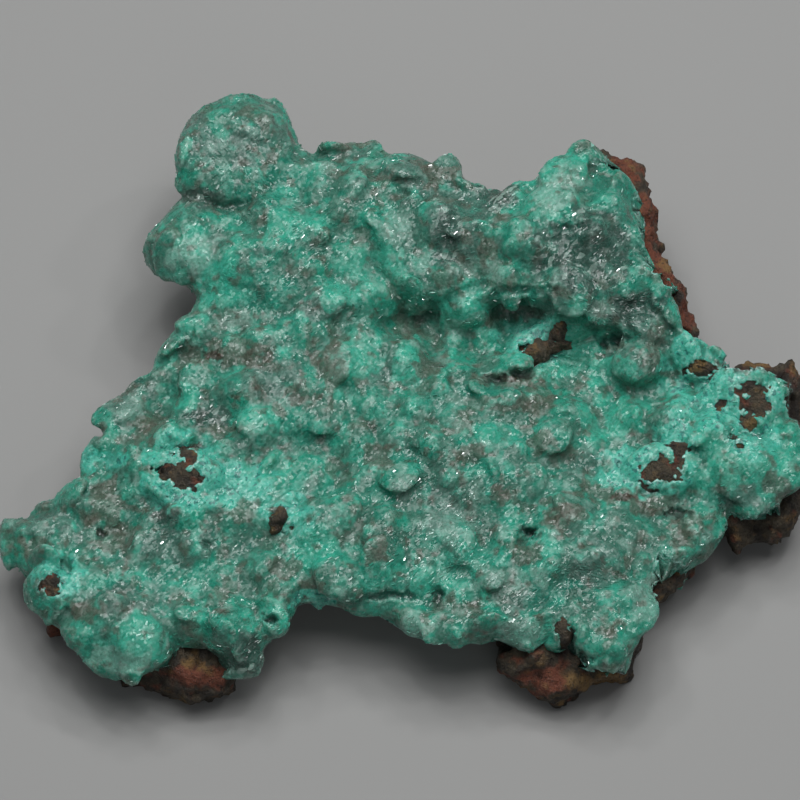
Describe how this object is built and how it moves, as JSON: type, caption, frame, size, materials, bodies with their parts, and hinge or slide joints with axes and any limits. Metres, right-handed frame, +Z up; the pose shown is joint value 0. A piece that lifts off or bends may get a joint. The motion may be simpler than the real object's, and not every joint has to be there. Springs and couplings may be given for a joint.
{
  "type": "blue aragonite specimen",
  "caption": "Mineral specimen: knobbly, glassy blue-green aragonite crust grown over a rough brown limonite plate, lying flat.",
  "frame": {"origin": "on the surface it lies on, under the middle of the bounding box", "axes": "+Z up through the crust, +X along the longest side to the viewer's right, +Y from the front feet to the back knob"},
  "size_m": [0.079, 0.0628, 0.0182],
  "materials": {
    "limonite": "rough, earthy, brown to red-brown",
    "aragonite": "glassy, translucent, silky fibres and small bright facets"
  },
  "bodies": {
    "root": {"limonite_matrix": "limonite", "aragonite_crust": "aragonite"}
  },
  "joints": []
}
